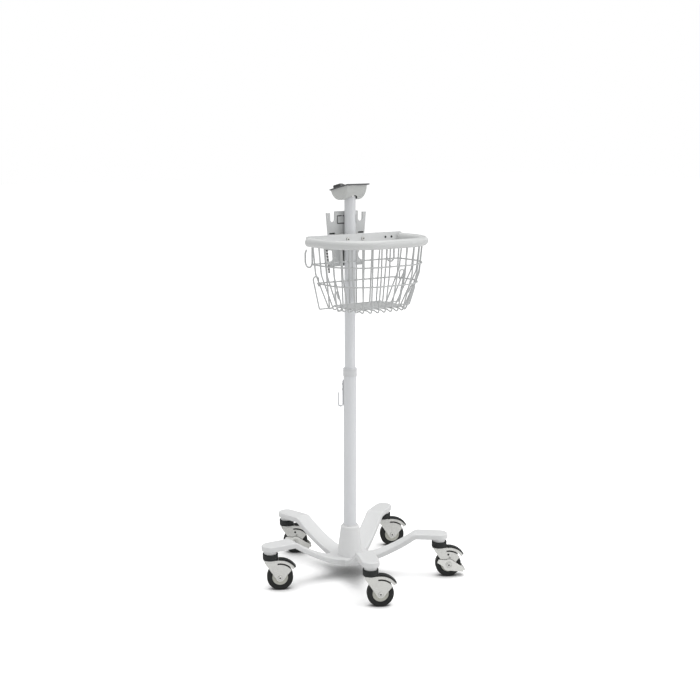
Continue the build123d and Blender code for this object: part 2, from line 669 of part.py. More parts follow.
# Cable loops stand off the walls, to wind a lead round: a tall one at each side, held by the
# lower ring, and a hairpin further forward, held by a wall wire.
LOOP_DEPTH = 48.0
LOOP_TOP = 899.0
LOOP_LINE = (140.0, 162.0)  # distance of the outer run from the middle, at the floor and on top
ring_side = D_HALF_WIDTH - wall_insets(RING_HEIGHTS[1])[0] + 2 * WIRE_RADIUS - WELD
HAIRPIN_WIRE = 3
HAIRPIN_REACH = (25.0, 42.0)
HAIRPIN_TOP = 862.0
cable_loops = []
for side, wire_number in ((-1, HAIRPIN_WIRE), (1, WALL_WIRES - 1 - HAIRPIN_WIRE)):
    hold = side * (ring_side + 2 * WIRE_RADIUS - WELD)
    cable_loops.append(rod(
        [(side * (ring_side - 40), -LOOP_DEPTH, FLOOR_HEIGHT), (side * LOOP_LINE[0], -LOOP_DEPTH, FLOOR_HEIGHT),
         (side * LOOP_LINE[1], -LOOP_DEPTH, LOOP_TOP), (hold, -LOOP_DEPTH, LOOP_TOP),
         (hold, -LOOP_DEPTH, RING_HEIGHTS[1] - 6)],
        [4, 8, 8],
    ))
    foot, lean = wall_runs[wire_number]
    outward = Vector(lean.X, lean.Y, 0).normalized()
    lift = Vector(0, 0, HAIRPIN_TOP - FLOOR_HEIGHT)
    cable_loops.append(rod(
        [foot - outward * 3, foot + outward * HAIRPIN_REACH[0], foot + outward * HAIRPIN_REACH[1] + lift,
         foot + outward * (HAIRPIN_REACH[1] - 11) + lift, foot + outward * 21.5 + lift * 0.62],
        [4, 5, 5],
    ))
save(group(cable_loops), "cable_loops")

# ---------------------------------------------------------------- clamp and rear bracket
CLAMP_BOLT_RADIUS = 3.0
BRACKET_BACK = BRACKET_FRONT + BRACKET_DEPTH
bolt_spots = [(x, plate_middle) for x in PLATE_SCREWS]
with BuildPart() as clamp_block:
    with BuildSketch(Plane.XZ.offset(-PLATE_FRONT - PLATE_THICK)):
        with Locations((0, plate_middle)):
            RectangleRounded(72, 24, 3)
        with Locations(bolt_spots):
            Circle(CLAMP_BOLT_RADIUS + 0.1, mode=Mode.SUBTRACT)
    extrude(amount=-(BRACKET_FRONT - PLATE_FRONT - PLATE_THICK))
    with BuildSketch(Plane.XY.offset(PLATE_BOTTOM - 5)):
        Circle(UPPER_RADIUS + FIT)
    extrude(amount=40, mode=Mode.SUBTRACT)
save(clamp_block.part, "clamp_block")

clamp_length = BRACKET_BACK - PLATE_FRONT + 6
clamp_screw = bolt(CLAMP_BOLT_RADIUS, clamp_length, 5.6, 3.2, socket=2.4)
with BuildPart() as clamp_nut:
    with BuildSketch(Plane.XY.offset(-(BRACKET_BACK - PLATE_FRONT) - 4.6)):
        RegularPolygon(5.6, 6)
        Circle(CLAMP_BOLT_RADIUS, mode=Mode.SUBTRACT)
    extrude(amount=4.6)
clamp_bolts = []
for x, z in bolt_spots:
    seat = Plane(origin=(x, PLATE_FRONT, z), x_dir=(1, 0, 0), z_dir=(0, -1, 0))
    clamp_bolts += [clamp_screw.moved(seat.location), clamp_nut.part.moved(seat.location)]
save(group(clamp_bolts), "clamp_bolts")


# The bracket is a flat closed box; its slots and windows are in the front wall only.
with BuildLine() as bracket_edge:
    Polyline((0, 1070), (40, 1070), (40.5, 1048))
    ThreePointArc((40.5, 1048), (48.5, 1040), (56.5, 1048))
    Polyline((56.5, 1048), (57, 1066), (68.8, 1066), (63, 1004), (62.6, 978), (75, 976),
             (75, 962), (62, 960.6))
    ThreePointArc((62, 960.6), (41.5, 943), (57, 929))
    Polyline((57, 929), (57, 914.5), (0, 914.5))
    mirror(about=Plane.YZ)
with BuildPart() as rear_bracket:
    with BuildSketch(Plane.XZ.offset(-BRACKET_BACK)):
        add(make_face(bracket_edge.line))
    extrude(amount=BRACKET_DEPTH)
    with BuildSketch(Plane.XZ.offset(BRACKET_SHEET - BRACKET_BACK)):
        add(make_face(bracket_edge.line))
        offset(amount=-BRACKET_SHEET)
        with Locations(bolt_spots):
            Circle(CLAMP_BOLT_RADIUS + BRACKET_SHEET, mode=Mode.SUBTRACT)
    extrude(amount=BRACKET_DEPTH - 2 * BRACKET_SHEET, mode=Mode.SUBTRACT)
    with BuildSketch(Plane.XZ.offset(-BRACKET_FRONT - BRACKET_SHEET)):
        with Locations((-19.75, 1046.5), (19.75, 1046.5)):
            RectangleRounded(27.5, 24, 2)
            RectangleRounded(22, 18.5, 1.5, mode=Mode.SUBTRACT)
        with Locations([(x, 1057) for x in (-15, -8, 8, 15)]):
            Rectangle(2.5, 4, mode=Mode.SUBTRACT)
        with Locations((-50, 1008), (50, 1008)):
            SlotOverall(21, 4.4)
        with Locations((-14.8, 940), (14.8, 940)):
            RectangleRounded(13.5, 46, 2)
    extrude(amount=BRACKET_SHEET, mode=Mode.SUBTRACT)
    with BuildSketch(Plane.XZ.offset(-BRACKET_BACK)):
        with Locations(bolt_spots):
            Circle(CLAMP_BOLT_RADIUS + 0.1)
    extrude(amount=BRACKET_DEPTH, mode=Mode.SUBTRACT)
save(rear_bracket.part, "rear_bracket")

# Spring clips: closed coils, one hanging from the left ear, one on the lower band's right end.
CLIP_RADIUS = 3.0
CLIP_PITCH = 4.4
CLIP_FOOT = 898.5


def make_clip(turns):
    """A closed coil standing on its own origin."""
    with BuildPart() as clip:
        with BuildSketch(Plane.XZ):
            for turn in range(turns):
                with Locations((CLIP_RADIUS - 1.3, CLIP_PITCH * (turn + 0.5))):
                    Ellipse(1.3, CLIP_PITCH / 2 + 0.2)
            Rectangle(CLIP_RADIUS - 1, CLIP_PITCH * turns, align=(Align.MIN, Align.MIN))
            Rectangle(1, CLIP_PITCH * turns, align=(Align.MIN, Align.MIN), mode=Mode.SUBTRACT)
        revolve(axis=Axis.Z)
    return clip.part


clip_y = BRACKET_FRONT - CLIP_RADIUS
left_clip = make_clip(15).moved(Location((-63, clip_y, CLIP_FOOT), (0, -7.2, 0)))
right_clip = make_clip(10).moved(Location((59, clip_y, CLIP_FOOT)))
save(group([left_clip, right_clip]), "spring_clips")

# ---------------------------------------------------------------- mounting head
plate_up = Vector(0, sin(radians(HEAD_TILT)), cos(radians(HEAD_TILT)))
plate_plane = Plane(origin=PLATE_CENTRE, x_dir=(1, 0, 0), z_dir=plate_up)
mount_holes = [(x, y) for x in (-MOUNT_HOLE_SPREAD, MOUNT_HOLE_SPREAD)
               for y in (-MOUNT_HOLE_SPREAD, MOUNT_HOLE_SPREAD)]
HEAD_SCREWS = ((-16, -29), (16, -29), (20, 36))
SCREW_SINK = 1.5
BLOCK_OUTLINE = ((-23.7, 44.5), (-23.7, 13), (-12, 13), (12, 34), (12, 44.5))
with BuildPart() as head_plate:
    with BuildSketch(plate_plane.offset(-HEAD_SHEET)):
        RectangleRounded(HEAD_WIDTH, HEAD_DEPTH, 3)
        with Locations(mount_holes):
            Circle(MOUNT_HOLE_RADIUS, mode=Mode.SUBTRACT)
        with Locations(HEAD_SCREWS):
            Circle(1.6, mode=Mode.SUBTRACT)
        with BuildSketch(plate_plane.offset(-HEAD_SHEET), mode=Mode.SUBTRACT):
            Polygon(*BLOCK_OUTLINE, align=None)
            offset(amount=0.2)
    extrude(amount=HEAD_SHEET)
    with BuildSketch(plate_plane):
        with Locations(HEAD_SCREWS):
            Circle(3.2)
    extrude(amount=-SCREW_SINK, mode=Mode.SUBTRACT)
save(head_plate.part, "head_plate")


def drum(wall):
    """The housing's solid shape, or with a wall thickness, the space inside it."""
    with BuildPart() as shape:
        with BuildSketch(Plane.YZ.offset(wall - DRUM_HALF)):
            with Locations(DRUM_CENTRE):
                Circle(DRUM_RADIUS - wall)
        extrude(amount=2 * (DRUM_HALF - wall))
        fillet(shape.edges().filter_by(GeomType.CIRCLE), 5 - wall)
        split(bisect_by=plate_plane.offset(-HEAD_SHEET), keep=Keep.BOTTOM)
    return shape.part


with BuildPart() as head_housing:
    add(drum(0))
    add(drum(HOUSING_WALL), mode=Mode.SUBTRACT)
    with BuildSketch(Plane.XY.offset(DRUM_CENTRE[1] - DRUM_RADIUS - 5)):
        with Locations((0, -2.5)):
            SlotCenterToCenter(5, 2 * (UPPER_RADIUS + 1.9), rotation=90)
    extrude(amount=30, mode=Mode.SUBTRACT)
    with BuildSketch(plate_plane.offset(-HEAD_SHEET)):
        with Locations(HEAD_SCREWS):
            Circle(3.5)
    extrude(amount=-9)
    with BuildSketch(plate_plane.offset(-HEAD_SHEET)):
        with Locations(HEAD_SCREWS):
            Circle(1.6)
    extrude(amount=-9, mode=Mode.SUBTRACT)
    add(drum(0), mode=Mode.INTERSECT)
save(head_housing.part, "head_housing")

head_screw = bolt(1.55, 8, 2.9, SCREW_SINK - 0.2, socket=1.2)
head_screws = [head_screw.moved(plate_plane.location * Location((x, y, -SCREW_SINK)))
               for x, y in HEAD_SCREWS]
save(group(head_screws), "head_screws")

# Latch block: it stands in a notch of the plate, on a foot below it, with a sprung button in front
BLOCK_HEIGHT = 11.6
BUTTON_PLACE = (-17.9, 13.0, 6.0)  # middle of the pocket's mouth, seen from the plate's centre
with BuildPart() as mount_block:
    with BuildSketch(plate_plane):
        Polygon(*BLOCK_OUTLINE, align=None)
    extrude(amount=BLOCK_HEIGHT)
    chamfer(mount_block.faces().sort_by(Axis(PLATE_CENTRE, plate_up))[-1].edges(), 1.5)
    with BuildSketch(plate_plane):
        Polygon(*BLOCK_OUTLINE, align=None)
    extrude(amount=-HEAD_SHEET)
    with BuildSketch(plate_plane.offset(-HEAD_SHEET)):
        with Locations((-6, 26.2)):
            RectangleRounded(41, 26, 2)
    extrude(amount=-2)
    with Locations(plate_plane.location * Location(BUTTON_PLACE)):
        Box(9, 16, 5.6, mode=Mode.SUBTRACT)
save(mount_block.part, "mount_block")

with BuildPart() as latch_button:
    with Locations(plate_plane.location * Location(BUTTON_PLACE)):
        Box(8.6, 7, 5.2)
    fillet(latch_button.faces().sort_by(Axis.Y)[0].edges(), 0.8)
save(latch_button.part, "latch_button")

# Tilt hinge: a tongue in the pole's top, a U bracket under the plate, and their pin
PIN_RADIUS = 3.0
EAR_INNER = 9.5
EAR_SHEET = 2.5
with BuildPart() as head_yoke:
    with BuildSketch(Plane.XY.offset(POLE_TOP - 20)):
        Circle(UPPER_RADIUS - TUBE_WALL - 0.02)
    extrude(amount=20)
    with BuildSketch(Plane.XY.offset(POLE_TOP)):
        Circle(UPPER_RADIUS)
    extrude(amount=1.8)
    with BuildSketch(Plane.YZ.offset(-EAR_INNER + 0.3)):
        with Locations((0, PIVOT_HEIGHT)):
            Circle(7.5)
        with Locations((0, (POLE_TOP + PIVOT_HEIGHT) / 2)):
            Rectangle(15, PIVOT_HEIGHT - POLE_TOP)
        with Locations((0, PIVOT_HEIGHT)):
            Circle(PIN_RADIUS + 0.02, mode=Mode.SUBTRACT)
    extrude(amount=2 * EAR_INNER - 0.6)
save(head_yoke.part, "head_yoke")

with BuildPart() as tilt_bracket:
    with BuildSketch(Plane.YZ.offset(-EAR_INNER - EAR_SHEET)):
        with BuildLine():
            left = plate_plane.from_local_coords((0, -16, -HEAD_SHEET))
            right = plate_plane.from_local_coords((0, 12, -HEAD_SHEET))
            Polyline((left.Y, left.Z), (-8, PIVOT_HEIGHT - 1), (-5, PIVOT_HEIGHT - 6.4),
                     (5, PIVOT_HEIGHT - 6.4), (8, PIVOT_HEIGHT - 1), (right.Y, right.Z), close=True)
        make_face()
        with Locations((0, PIVOT_HEIGHT)):
            Circle(PIN_RADIUS + RUNNING_GAP, mode=Mode.SUBTRACT)
    extrude(amount=EAR_SHEET)
    mirror(about=Plane.YZ)
    with BuildSketch(plate_plane.offset(-HEAD_SHEET - EAR_SHEET)):
        with Locations((0, -2)):
            Rectangle(2 * (EAR_INNER + EAR_SHEET), 28)
    extrude(amount=EAR_SHEET)
save(tilt_bracket.part, "tilt_bracket")

with BuildPart() as tilt_pin:
    with BuildSketch(Plane.YZ.offset(-EAR_INNER - EAR_SHEET - 2)):
        with Locations((0, PIVOT_HEIGHT)):
            Circle(PIN_RADIUS)
    extrude(amount=2 * (EAR_INNER + EAR_SHEET + 2))
    for start in (-EAR_INNER - EAR_SHEET - 2, EAR_INNER + EAR_SHEET + 0.4):
        with BuildSketch(Plane.YZ.offset(start)):
            with Locations((0, PIVOT_HEIGHT)):
                Circle(5)
        extrude(amount=1.6)
save(tilt_pin.part, "tilt_pin")
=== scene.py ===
"""Looks of the patient monitor roll stand: materials, weld beads, floor, light and camera."""

import json
import math

import bmesh
import bpy
from mathutils import Matrix, Vector
from mathutils.bvhtree import BVHTree
from mathutils.geometry import intersect_line_line


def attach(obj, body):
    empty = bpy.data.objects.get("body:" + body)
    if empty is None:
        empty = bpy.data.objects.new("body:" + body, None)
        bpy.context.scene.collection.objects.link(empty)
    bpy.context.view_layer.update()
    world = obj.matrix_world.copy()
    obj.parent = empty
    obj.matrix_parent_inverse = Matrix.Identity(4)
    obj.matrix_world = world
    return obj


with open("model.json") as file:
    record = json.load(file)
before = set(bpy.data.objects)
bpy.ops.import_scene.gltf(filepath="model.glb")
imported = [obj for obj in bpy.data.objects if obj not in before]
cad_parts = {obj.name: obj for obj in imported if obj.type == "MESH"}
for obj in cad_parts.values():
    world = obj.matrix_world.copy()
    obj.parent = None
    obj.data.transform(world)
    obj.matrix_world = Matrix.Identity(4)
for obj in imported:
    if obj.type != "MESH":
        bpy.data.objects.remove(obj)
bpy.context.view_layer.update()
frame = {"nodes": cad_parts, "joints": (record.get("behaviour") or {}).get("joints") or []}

nodes, joints = frame["nodes"], {joint["name"]: joint for joint in frame["joints"]}
MM = 0.001

# ---------------------------------------------------------------- shader building blocks
WHITE_LIGHT = (1.0, 1.0, 1.0, 1.0)
PAINTED_SHADE = (0.03, 0.03, 0.03)  # painted shade: the near-black of the insides of slots and of the gaps between parts
BRUSHED_SCALE = 420.0  # cells a metre


class Graph:
    """A node tree and short ways to add nodes to it."""

    def __init__(self, tree):
        self.tree = tree

    def add(self, kind, **settings):
        node = self.tree.nodes.new(kind)
        for key, value in settings.items():
            setattr(node, key, value)
        return node

    def link(self, source, target):
        self.tree.links.new(source, target)

    def feed(self, socket, value):
        """Links an output to a socket, or sets a constant on it."""
        if hasattr(value, "links"):
            self.link(value, socket)
        else:
            socket.default_value = value

    def remap(self, source, low, high, start=0.3, stop=0.7):
        """Low to high while the source goes from start to stop, and no further."""
        node = self.add("ShaderNodeMapRange")
        for key, value in (("From Min", start), ("From Max", stop),
                           ("To Min", low), ("To Max", high)):
            node.inputs[key].default_value = value
        self.link(source, node.inputs["Value"])
        return node.outputs["Result"]

    def math(self, operation, *values):
        node = self.add("ShaderNodeMath", operation=operation)
        for socket, value in zip(node.inputs, values):
            self.feed(socket, value)
        return node.outputs[0]

    def between(self, share, first, second):
        """A number between two numbers, by a share."""
        node = self.add("ShaderNodeMix")
        for key, value in (("Factor", share), ("A", first), ("B", second)):
            self.feed(node.inputs[key], value)
        return node.outputs["Result"]


class Shader(Graph):
    """One Principled material, textured in the object's own coordinates."""

    COLOUR_A, COLOUR_B, COLOUR_RESULT = 6, 7, 2  # sockets of a mix node in colour mode

    def __init__(self, name, roughness, metallic=0.0, coat=0.0, specular=0.5):
        self.material = bpy.data.materials.new(name)
        self.material.use_nodes = True
        super().__init__(self.material.node_tree)
        self.bsdf = self.tree.nodes["Principled BSDF"]
        self.bsdf.inputs["Roughness"].default_value = roughness
        self.bsdf.inputs["Metallic"].default_value = metallic
        self.bsdf.inputs["Coat Weight"].default_value = coat
        self.bsdf.inputs["Coat Roughness"].default_value = 0.25
        self.bsdf.inputs["Specular IOR Level"].default_value = specular
        self.place = self.add("ShaderNodeTexCoord").outputs["Object"]

    def colour(self, source):
        self.link(source, self.bsdf.inputs["Base Color"])

    def roughness(self, source):
        self.link(source, self.bsdf.inputs["Roughness"])

    def noise(self, scale, detail=3.0, stretch=None):
        """Noise at a number of cells a metre, or stretched along an axis."""
        node = self.add("ShaderNodeTexNoise")
        node.inputs["Scale"].default_value = scale
        node.inputs["Detail"].default_value = detail
        place = self.place
        if stretch:
            mapping = self.add("ShaderNodeMapping")
            mapping.inputs["Scale"].default_value = stretch
            self.link(place, mapping.inputs["Vector"])
            place = mapping.outputs["Vector"]
        self.link(place, node.inputs["Vector"])
        return node.outputs["Fac"]

    def mix(self, share, first, second):
        """A colour between two colours, by a share."""
        node = self.add("ShaderNodeMix", data_type="RGBA")
        self.link(share, node.inputs["Factor"])
        for socket, value in ((self.COLOUR_A, first), (self.COLOUR_B, second)):
            self.feed(node.inputs[socket], value if hasattr(value, "links") else (*value, 1.0))
        return node.outputs[self.COLOUR_RESULT]

    def bump(self, height, depth, strength, under=None):
        """Relief of a depth in metres, over an earlier relief if one is given."""
        node = self.add("ShaderNodeBump")
        node.inputs["Strength"].default_value = strength
        node.inputs["Distance"].default_value = depth
        self.link(height, node.inputs["Height"])
        if under:
            self.link(under, node.inputs["Normal"])
        self.link(node.outputs["Normal"], self.bsdf.inputs["Normal"])
        return node.outputs["Normal"]

    def axes(self):
        """The X, Y and Z of each point."""
        point = self.add("ShaderNodeSeparateXYZ")
        self.link(self.place, point.inputs[0])
        return point.outputs["X"], point.outputs["Y"], point.outputs["Z"]

    def radius_from(self, centre, axis):
        """Distance of each point from a line, in metres."""
        offset = self.add("ShaderNodeVectorMath", operation="SUBTRACT")
        offset.inputs[1].default_value = centre
        self.link(self.place, offset.inputs[0])
        crossed = self.add("ShaderNodeVectorMath", operation="CROSS_PRODUCT")
        crossed.inputs[1].default_value = axis
        self.link(offset.outputs["Vector"], crossed.inputs[0])
        length = self.add("ShaderNodeVectorMath", operation="LENGTH")
        self.link(crossed.outputs["Vector"], length.inputs[0])
        return length.outputs["Value"]

    def waves(self, distance, period):
        """A sine along a distance."""
        return self.math("SINE", self.math("MULTIPLY", distance, 2 * math.pi / period))

    def openness(self, reach, samples):
        """How little there is within reach of each point: one in the open, zero if enclosed."""
        node = self.add("ShaderNodeAmbientOcclusion", samples=samples)
        node.inputs["Distance"].default_value = reach
        return node.outputs["AO"]

    def inside(self, boxes):
        """One inside any box, else zero. A box is a middle and a half size for |X|, Y and Z."""
        x, y, z = self.axes()
        place = (self.math("ABSOLUTE", x), y, z)
        shares = []
        for box in boxes:
            along = [self.math("COMPARE", value, *span) for value, span in zip(place, box)]
            shares.append(self.math("MULTIPLY", self.math("MULTIPLY", *along[:2]), along[2]))
        total = shares[0]
        for share in shares[1:]:
            total = self.math("MAXIMUM", total, share)
        return total


def shade(colour, factor):
    """A colour made lighter or darker."""
    return tuple(min(1.0, part * factor) for part in colour)


def powder_coat(name, colour, roughness, peel, depth=0.05 * MM, coat=0.15):
    """Baked powder paint: faint orange peel, slight unevenness of tone and gloss."""
    shader = Shader(name, roughness, coat=coat)
    cloud = shader.remap(shader.noise(9.0, 2.0), 0, 1)
    shader.colour(shader.mix(cloud, shade(colour, 0.975), shade(colour, 1.01)))
    shader.roughness(shader.remap(shader.noise(70.0), roughness - 0.05, roughness + 0.07))
    shader.bump(shader.noise(peel, 2.0), depth, 0.5)
    return shader.material


def textured_paint(name, colour, roughness, slots=()):
    """Structured paint with a fine speckled grain, but painted shade inside the slots of a hollow
    part.
    """
    shader = Shader(name, roughness)
    speckle = shader.noise(1900.0, 2.0)
    grain = shader.remap(speckle, 0, 1, 0.35, 0.65)
    paint = shader.mix(grain, shade(colour, 0.93), shade(colour, 1.05))
    # Inside the slots the colour is painted shade.
    shader.colour(shader.mix(shader.inside(slots), paint, PAINTED_SHADE) if slots else paint)
    shader.roughness(shader.remap(shader.noise(60.0), roughness - 0.06, roughness + 0.06))
    shader.bump(speckle, 0.12 * MM, 0.6)
    return shader.material


def plated_steel(name, colour, roughness, stretch=(1, 1, 1)):
    """Bright zinc or nickel: rolling marks, faint spangle, some dulling, and painted shade
    darkening the gaps and crevices.
    """
    shader = Shader(name, roughness, metallic=1.0)
    spangle = shader.add("ShaderNodeTexVoronoi")
    spangle.inputs["Scale"].default_value = 260.0
    shader.link(shader.place, spangle.inputs["Vector"])
    tone = shader.remap(spangle.outputs["Color"], 0.0, 1.0, 0.0, 1.0)
    plating = shader.mix(tone, shade(colour, 0.93), shade(colour, 1.04))
    # Painted shade: close to other parts the plating goes towards near-black.
    unshaded = shader.remap(shader.openness(5 * MM, 8), 0.0, 1.0, 0.25, 0.9)
    shader.colour(shader.mix(unshaded, PAINTED_SHADE, plating))
    marks = shader.noise(BRUSHED_SCALE, 4.0, stretch)
    shader.roughness(shader.remap(marks, roughness - 0.07, roughness + 0.1))
    shader.bump(marks, 0.02 * MM, 0.4)
    return shader.material


def moulded(name, colour, roughness, grain=1500.0, depth=0.05 * MM, coat=0.0):
    """Moulded plastic with a fine spark-eroded grain and faint flow marks."""
    shader = Shader(name, roughness, coat=coat)
    flow = shader.remap(shader.noise(28.0, 4.0, (1.0, 1.0, 2.5)), 0, 1)
    shader.colour(shader.mix(flow, shade(colour, 0.985), shade(colour, 1.01)))
    shader.roughness(shader.remap(shader.noise(220.0), roughness - 0.06, roughness + 0.08))
    shader.bump(shader.noise(grain, 2.0), depth, 0.5)
    return shader.material


def rubber(name, centre, axis):
    """Tyre: dark sidewall with moulded rings, and a scuffed, dustier tread."""
    shader = Shader(name, 0.62, specular=0.35)
    radius = shader.radius_from(centre, axis)
    tread = shader.remap(radius, 0.0, 1.0, 35.6 * MM, 36.8 * MM)
    scuff = shader.math("MULTIPLY", tread, shader.remap(shader.noise(190.0, 5.0), 0.2, 1.0))
    shader.colour(shader.mix(scuff, (0.012, 0.013, 0.012), (0.035, 0.035, 0.033)))
    shader.roughness(shader.remap(scuff, 0.52, 0.8, 0.0, 1.0))
    fine = shader.bump(shader.noise(1300.0, 3.0), 0.08 * MM, 0.5)
    shader.bump(shader.waves(radius, 1.25 * MM), 0.05 * MM, 0.35, fine)
    return shader.material


def wheel_plastic(name, centre, axis, colour):
    """Turned-looking polyamide hub: faint rings, dust near the edge."""
    shader = Shader(name, 0.42)
    radius = shader.radius_from(centre, axis)
    edge = shader.remap(radius, 0.0, 1.0, 18 * MM, 22.5 * MM)
    dust = shader.math("MULTIPLY", edge, shader.remap(shader.noise(240.0, 4.0), 0.0, 1.0))
    shader.colour(shader.mix(dust, colour, shade(colour, 0.72)))
    shader.roughness(shader.remap(shader.noise(160.0), 0.36, 0.5))
    shader.bump(shader.waves(radius, 0.9 * MM), 0.03 * MM, 0.3)
    return shader.material


def recessed_bolt(name, centre, axis, colour, recess):
    """A plated bolt whose head is painted near-black, as shade, inside a recess of a radius round
    its axis.
    """
    shader = Shader(name, 0.25, metallic=1.0)
    radius, blur = shader.radius_from(centre, axis), 0.3 * MM
    outside = shader.remap(radius, 0.0, 1.0, recess - blur, recess + blur)
    # Painted shade: near-black inside the recess.
    shader.colour(shader.mix(outside, (0.01, 0.01, 0.01), colour))
    shader.roughness(shader.remap(shader.noise(BRUSHED_SCALE, 4.0), 0.2, 0.36))
    return shader.material


def banded(name, dark, light, period):
    """A closed coil, dark, with pale bands along its height painted as the highlights of its turns.
    """
    shader = Shader(name, 0.4)
    height = shader.axes()[2]
    band = shader.remap(shader.waves(height, period), 0.0, 1.0, -0.2, 0.3)
    # The pale bands are painted highlights.
    shader.colour(shader.mix(band, light, dark))
    shader.bump(shader.noise(800.0), 0.03 * MM, 0.4)
    return shader.material


# ---------------------------------------------------------------- materials of the CAD nodes
WHITE = (0.71, 0.715, 0.715)
ZINC = (0.68, 0.68, 0.655)
SHEET = (0.62, 0.63, 0.63)
HUB_CREAM = (0.62, 0.62, 0.56)
AXLE_RECESS = 2.3 * MM
CLIP_BANDS = 8.8 * MM  # two turns of the coil
BRACKET_CAVITY = (19.2 * MM, 2.0 * MM)  # middle and half depth of the bracket's hollow
# Each of the bracket's openings, painted in shade inside: middle and half size along |X|, Y and Z.
BRACKET_SLOTS = [
    ((50.0 * MM, 11.5 * MM), BRACKET_CAVITY, (1008.0 * MM, 3.0 * MM)),
    ((14.8 * MM, 7.0 * MM), BRACKET_CAVITY, (940.0 * MM, 23.5 * MM)),
    ((19.75 * MM, 14.0 * MM), BRACKET_CAVITY, (1046.5 * MM, 12.2 * MM)),
]

casting_white = powder_coat("casting_white", WHITE, 0.4, 420.0, 0.07 * MM)
tube_white = powder_coat("tube_white", (0.745, 0.757, 0.775), 0.4, 650.0, 0.03 * MM)
rim_white = powder_coat("rim_white", (0.62, 0.63, 0.625), 0.33, 500.0, 0.03 * MM, coat=0.1)
wire_white = powder_coat("wire_white", (0.53, 0.54, 0.54), 0.36, 900.0, 0.03 * MM)
plate_white = powder_coat("plate_white", (0.73, 0.74, 0.74), 0.42, 600.0)
cover_white = moulded("cover_white", (0.745, 0.75, 0.75), 0.4, 1500.0, 0.02 * MM, coat=0.15)
collar_white = moulded("collar_white", (0.69, 0.70, 0.71), 0.42, 1500.0, 0.02 * MM)
housing_grey = textured_paint("housing_grey", (0.57, 0.58, 0.565), 0.5)
sheet_grey = textured_paint("sheet_grey", SHEET, 0.45)
# The bracket's slots are painted dark as shade.
bracket_grey = textured_paint("bracket_grey", SHEET, 0.45, BRACKET_SLOTS)
plate_dark = textured_paint("plate_dark", (0.085, 0.085, 0.09), 0.4)
block_black = moulded("block_black", (0.045, 0.045, 0.045), 0.42)
button_grey = moulded("button_grey", (0.22, 0.225, 0.23), 0.42)
band_black = moulded("band_black", (0.006, 0.008, 0.008), 0.6)
bush_dark = moulded("bush_dark", (0.12, 0.12, 0.12), 0.5)
shoe_black = moulded("shoe_black", (0.02, 0.02, 0.02), 0.7, 900.0, 0.2 * MM)
zinc_stamped = plated_steel("zinc_stamped", ZINC, 0.27, (1, 1, 9))
zinc_turned = plated_steel("zinc_turned", shade(ZINC, 0.95), 0.24, (9, 9, 1))
zinc_polished = plated_steel("zinc_polished", shade(ZINC, 1.1), 0.14)
# Clips: a black coil with painted highlights on its turns.
clip_ribs = banded("clip_ribs", (0.015, 0.015, 0.016), (0.55, 0.55, 0.55), CLIP_BANDS)
ball_chrome = plated_steel("ball_chrome", (0.82, 0.82, 0.83), 0.12)

LOOKS = {
    "base_casting": casting_white, "hub_cover": cover_white, "pole_collar": collar_white,
    "lower_pole": tube_white, "upper_pole": tube_white, "pole_hook": tube_white,
    "pole_bushes": bush_dark, "base_fastening": zinc_turned, "hook_screws": zinc_turned,
    "caster_stems": zinc_turned, "swivel_balls": ball_chrome,
    "basket_rim": rim_white, "basket_back_plate": plate_white, "basket_wall_wires": wire_white,
    "basket_floor_wires": wire_white, "basket_back_wires": wire_white, "basket_rings": wire_white,
    "basket_hooks": wire_white, "cable_loops": wire_white,
    "clamp_block": housing_grey, "clamp_bolts": zinc_turned, "rear_bracket": bracket_grey,
    "spring_clips": clip_ribs, "head_yoke": zinc_turned, "tilt_pin": zinc_turned,
    "tilt_bracket": sheet_grey, "head_housing": housing_grey, "head_plate": plate_dark,
    "mount_block": block_black, "head_screws": zinc_turned, "latch_button": button_grey,
}
for number in range(1, 6):
    roll = joints[f"wheel_{number}_roll"]
    line = (roll["pos_m"], roll["axis"])
    LOOKS[f"caster_fork_{number}"] = zinc_stamped
    LOOKS[f"swivel_cover_{number}"] = band_black
    LOOKS[f"wheel_axle_{number}"] = recessed_bolt(f"axle_zinc_{number}", *line, ZINC, AXLE_RECESS)
    LOOKS[f"wheel_hub_{number}"] = wheel_plastic(f"hub_cream_{number}", *line, HUB_CREAM)
    LOOKS[f"tyre_{number}"] = rubber(f"tyre_rubber_{number}", *line)
for braked in (1, 3):
    LOOKS[f"brake_pedal_{braked}"] = zinc_polished
    LOOKS[f"brake_shoe_{braked}"] = shoe_black
for name, node in nodes.items():
    node.data.materials.clear()
    node.data.materials.append(LOOKS[name])

# ---------------------------------------------------------------- weld beads and blanking plugs


def triangles(name):
    """A node's corners and triangles."""
    data = nodes[name].data
    data.calc_loop_triangles()
    corners = [vertex.co.copy() for vertex in data.vertices]
    return corners, [tuple(face.vertices) for face in data.loop_triangles]


def long_edge(corners, face):
    """The longest edge of a triangle, which runs along its wire."""
    edges = [(corners[face[k]], corners[face[k - 1]]) for k in range(3)]
    return max(edges, key=lambda edge: (edge[0] - edge[1]).length)


SAME_SPOT = 5 * MM  # touches closer than this are one weld
EDGES_APART = 2 * MM  # where wires cross, the long edges of touching faces pass this close


def crossings(first, second):
    """Where wires of two nodes touch: the point, and the direction of each wire there."""
    (corners, faces), (other_corners, other_faces) = triangles(first), triangles(second)
    tree = BVHTree.FromPolygons(corners, faces, all_triangles=True)
    other_tree = BVHTree.FromPolygons(other_corners, other_faces, all_triangles=True)
    spots = []
    for face, other in tree.overlap(other_tree):
        run = long_edge(corners, faces[face])
        other_run = long_edge(other_corners, other_faces[other])
        near = intersect_line_line(*run, *other_run)
        if not near or (near[0] - near[1]).length > EDGES_APART:
            continue
        point = (near[0] + near[1]) / 2
        if all((point - spot[0]).length > SAME_SPOT for spot in spots):
            directions = [(end - start).normalized() for start, end in (run, other_run)]
            spots.append((point, *directions))
    return spots


